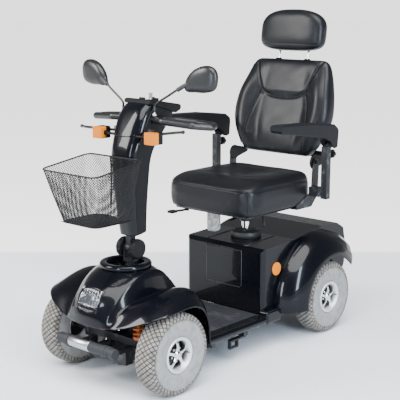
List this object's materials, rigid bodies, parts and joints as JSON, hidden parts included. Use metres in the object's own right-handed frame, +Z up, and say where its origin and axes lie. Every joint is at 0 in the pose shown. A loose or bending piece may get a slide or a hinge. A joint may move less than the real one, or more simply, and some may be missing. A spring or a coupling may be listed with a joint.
{
  "type": "mobility scooter",
  "caption": "Four-wheel ride-on mobility scooter with steered front wheels, tilting tiller, front basket, mirrors and a swivelling padded seat with flip-up armrests.",
  "frame": {"origin": "centre of the overall box at ground level", "axes": "+Z up; the scooter faces -Y; its left side is +X"},
  "size_m": [0.736, 1.54, 1.4633],
  "materials": {
    "frame_steel": "worn satin dark paint",
    "spring_orange": "powder coated",
    "body_paint": "gloss near-black with blue flake",
    "lamp_chrome": "bright",
    "clear_lens": "clear moulded lens",
    "deck_rubber": "ribbed matt",
    "bumper_grey": "satin grey",
    "battery_plastic": "matt",
    "cast_alloy": "cast",
    "amber_lens": "ribbed amber",
    "chrome": "polished",
    "black_rubber": "matt",
    "bright_steel": "zinc plated",
    "satin_plastic": "satin",
    "grip_plastic": "semi-gloss",
    "basket_wire": "satin black wire mesh",
    "pale_sleeve": "mottled pale grey",
    "seat_vinyl": "soft sheen, stitched",
    "arm_pad": "textured",
    "tyre_grey": "matt grey",
    "wheel_silver": "silver"
  },
  "bodies": {
    "chassis": {"chassis_frame": "frame_steel", "front_axle": "frame_steel", "front_shocks": "spring_orange", "front_shroud": "body_paint", "headlight_housing": "lamp_chrome", "headlight_lens": "clear_lens", "floor_pan": "body_paint", "floor_mat": "deck_rubber", "front_bumper": "bumper_grey", "batteries": "battery_plastic", "drive_unit": "cast_alloy", "rear_shroud": "body_paint", "marker_lamps": "amber_lens", "seat_post": "chrome", "seat_post_boot": "black_rubber"},
    "knuckle_left": {"knuckle_left": "frame_steel"},
    "knuckle_right": {"knuckle_right": "frame_steel"},
    "wheel_front_left": {"tyre_front_left": "tyre_grey", "rim_front_left": "wheel_silver"},
    "wheel_front_right": {"tyre_front_right": "tyre_grey", "rim_front_right": "wheel_silver"},
    "wheel_rear_left": {"tyre_rear_left": "tyre_grey", "rim_rear_left": "wheel_silver"},
    "wheel_rear_right": {"tyre_rear_right": "tyre_grey", "rim_rear_right": "wheel_silver"},
    "steering": {"steering_column": "frame_steel"},
    "tie_rod": {"tie_rod": "bright_steel"},
    "tiller": {"tiller_stem": "frame_steel", "tiller_front_cover": "body_paint", "tiller_rear_cover": "satin_plastic", "hand_grips": "grip_plastic", "indicator_bodies": "satin_plastic", "indicator_lenses": "amber_lens", "basket": "basket_wire", "dash_panel": "satin_plastic"},
    "tilt_knob": {"tilt_knob": "satin_plastic"},
    "ignition_key": {"ignition_key": "bright_steel"},
    "speed_dial": {"speed_dial": "satin_plastic"},
    "horn_button": {"horn_button": "satin_plastic"},
    "indicator_switch": {"indicator_switch": "satin_plastic"},
    "throttle_lever": {"throttle_lever": "grip_plastic"},
    "brake_lever": {"brake_lever": "grip_plastic"},
    "mirror_left": {"mirror_left": "satin_plastic"},
    "mirror_right": {"mirror_right": "satin_plastic"},
    "swivel": {"seat_base": "frame_steel", "hanging_sleeve": "pale_sleeve"},
    "seat": {"seat_frame": "frame_steel", "cushion": "seat_vinyl", "armrest_posts": "frame_steel"},
    "backrest": {"back_cushion": "seat_vinyl", "back_frame": "satin_plastic"},
    "headrest": {"headrest": "seat_vinyl", "headrest_posts": "chrome"},
    "armrest_left": {"armrest_left": "arm_pad"},
    "armrest_right": {"armrest_right": "arm_pad"},
    "arm_knob_left": {"arm_knob_left": "satin_plastic"},
    "arm_knob_right": {"arm_knob_right": "satin_plastic"},
    "width_knob": {"width_knob": "satin_plastic"},
    "slide_lever": {"slide_lever": "satin_plastic"},
    "swivel_lever": {"swivel_lever": "frame_steel"}
  },
  "joints": [
    {"name": "steer", "type": "hinge", "parent": "chassis", "child": "steering", "pos_m": [0, -0.44426, 0.3], "axis": [0, 0, 1], "range_deg": [-25, 25]},
    {"name": "knuckle_left_turn", "type": "hinge", "parent": "chassis", "child": "knuckle_left", "pos_m": [0.2, -0.50026, 0.165], "axis": [0, 0, 1], "range_deg": [-25, 25]},
    {"name": "knuckle_right_turn", "type": "hinge", "parent": "chassis", "child": "knuckle_right", "pos_m": [-0.2, -0.50026, 0.165], "axis": [0, 0, 1], "range_deg": [-25, 25]},
    {"name": "tie_rod_swing", "type": "hinge", "parent": "steering", "child": "tie_rod", "pos_m": [0, -0.36426, 0.176], "axis": [0, 0, 1], "range_deg": [-25, 25]},
    {"name": "wheel_front_left_spin", "type": "hinge", "parent": "knuckle_left", "child": "wheel_front_left", "pos_m": [0.276, -0.50026, 0.165], "axis": [1, 0, 0], "continuous": true},
    {"name": "wheel_front_right_spin", "type": "hinge", "parent": "knuckle_right", "child": "wheel_front_right", "pos_m": [-0.276, -0.50026, 0.165], "axis": [1, 0, 0], "continuous": true},
    {"name": "wheel_rear_left_spin", "type": "hinge", "parent": "chassis", "child": "wheel_rear_left", "pos_m": [0.262, 0.52374, 0.165], "axis": [1, 0, 0], "continuous": true},
    {"name": "wheel_rear_right_spin", "type": "hinge", "parent": "chassis", "child": "wheel_rear_right", "pos_m": [-0.262, 0.52374, 0.165], "axis": [1, 0, 0], "continuous": true},
    {"name": "tiller_tilt", "type": "hinge", "parent": "steering", "child": "tiller", "pos_m": [0, -0.44426, 0.528], "axis": [1, 0, 0], "range_deg": [-8, 12]},
    {"name": "tilt_knob_turn", "type": "hinge", "parent": "steering", "child": "tilt_knob", "pos_m": [0, -0.44426, 0.528], "axis": [1, 0, 0], "continuous": true},
    {"name": "key_turn", "type": "hinge", "parent": "tiller", "child": "ignition_key", "pos_m": [0.03, -0.35672, 1.11677], "axis": [0, 0.1745, 0.9847], "range_deg": [0, 60]},
    {"name": "speed_dial_turn", "type": "hinge", "parent": "tiller", "child": "speed_dial", "pos_m": [0, -0.30158, 1.10699], "axis": [0, 0.1745, 0.9847], "range_deg": [-135, 135]},
    {"name": "horn_press", "type": "slide", "parent": "tiller", "child": "horn_button", "axis": [0, -0.1745, -0.9847], "range_m": [0, 0.003], "stiffness_N_per_m": 300},
    {"name": "indicator_switch_turn", "type": "hinge", "parent": "tiller", "child": "indicator_switch", "pos_m": [-0.034, -0.33703, 1.11328], "axis": [0, 0.1745, 0.9847], "range_deg": [-20, 20]},
    {"name": "throttle_squeeze", "type": "hinge", "parent": "tiller", "child": "throttle_lever", "pos_m": [0.1, -0.41826, 1], "axis": [0, 0, 1], "range_deg": [0, 10], "stiffness_Nm_per_rad": 0.6},
    {"name": "brake_squeeze", "type": "hinge", "parent": "tiller", "child": "brake_lever", "pos_m": [-0.1, -0.41826, 1], "axis": [0, 0, -1], "range_deg": [0, 10], "stiffness_Nm_per_rad": 0.6},
    {"name": "mirror_left_turn", "type": "hinge", "parent": "tiller", "child": "mirror_left", "pos_m": [0.088, -0.39026, 1.06], "axis": [0, 0, 1], "range_deg": [-25, 25]},
    {"name": "mirror_right_turn", "type": "hinge", "parent": "tiller", "child": "mirror_right", "pos_m": [-0.088, -0.39026, 1.06], "axis": [0, 0, 1], "range_deg": [-25, 25]},
    {"name": "seat_swivel", "type": "hinge", "parent": "chassis", "child": "swivel", "pos_m": [0, 0.28674, 0.56], "axis": [0, 0, 1], "range_deg": [-90, 90]},
    {"name": "seat_slide", "type": "slide", "parent": "swivel", "child": "seat", "axis": [0, 1, 0], "range_m": [-0.04, 0.04]},
    {"name": "back_fold", "type": "hinge", "parent": "seat", "child": "backrest", "pos_m": [0, 0.48174, 0.79], "axis": [1, 0, 0], "range_deg": [-10, 50]},
    {"name": "headrest_height", "type": "slide", "parent": "backrest", "child": "headrest", "axis": [0, 0.2672, 0.9636], "range_m": [-0.01, 0.06]},
    {"name": "armrest_left_flip", "type": "hinge", "parent": "seat", "child": "armrest_left", "pos_m": [0.319, 0.48174, 0.884], "axis": [-1, 0, 0], "range_deg": [0, 90]},
    {"name": "armrest_right_flip", "type": "hinge", "parent": "seat", "child": "armrest_right", "pos_m": [-0.319, 0.48174, 0.884], "axis": [-1, 0, 0], "range_deg": [0, 90]},
    {"name": "arm_knob_left_turn", "type": "hinge", "parent": "seat", "child": "arm_knob_left", "pos_m": [0.319, 0.47174, 0.835], "axis": [0, 1, 0], "continuous": true},
    {"name": "arm_knob_right_turn", "type": "hinge", "parent": "seat", "child": "arm_knob_right", "pos_m": [-0.319, 0.47174, 0.835], "axis": [0, 1, 0], "continuous": true},
    {"name": "width_knob_turn", "type": "hinge", "parent": "seat", "child": "width_knob", "pos_m": [0.262, 0.48174, 0.669], "axis": [0, 1, 0], "continuous": true},
    {"name": "slide_lever_pull", "type": "hinge", "parent": "seat", "child": "slide_lever", "pos_m": [-0.165, 0.07174, 0.583], "axis": [0, 0, -1], "range_deg": [0, 18], "stiffness_Nm_per_rad": 0.5},
    {"name": "swivel_lever_pull", "type": "hinge", "parent": "swivel", "child": "swivel_lever", "pos_m": [0.05, 0.27974, 0.565], "axis": [0, 0, 1], "range_deg": [0, 20], "stiffness_Nm_per_rad": 0.5}
  ],
  "couplings": [
    {"joint": "knuckle_left_turn", "follows": "steer", "ratio": 1},
    {"joint": "knuckle_right_turn", "follows": "steer", "ratio": 1},
    {"joint": "tie_rod_swing", "follows": "steer", "ratio": -1}
  ]
}
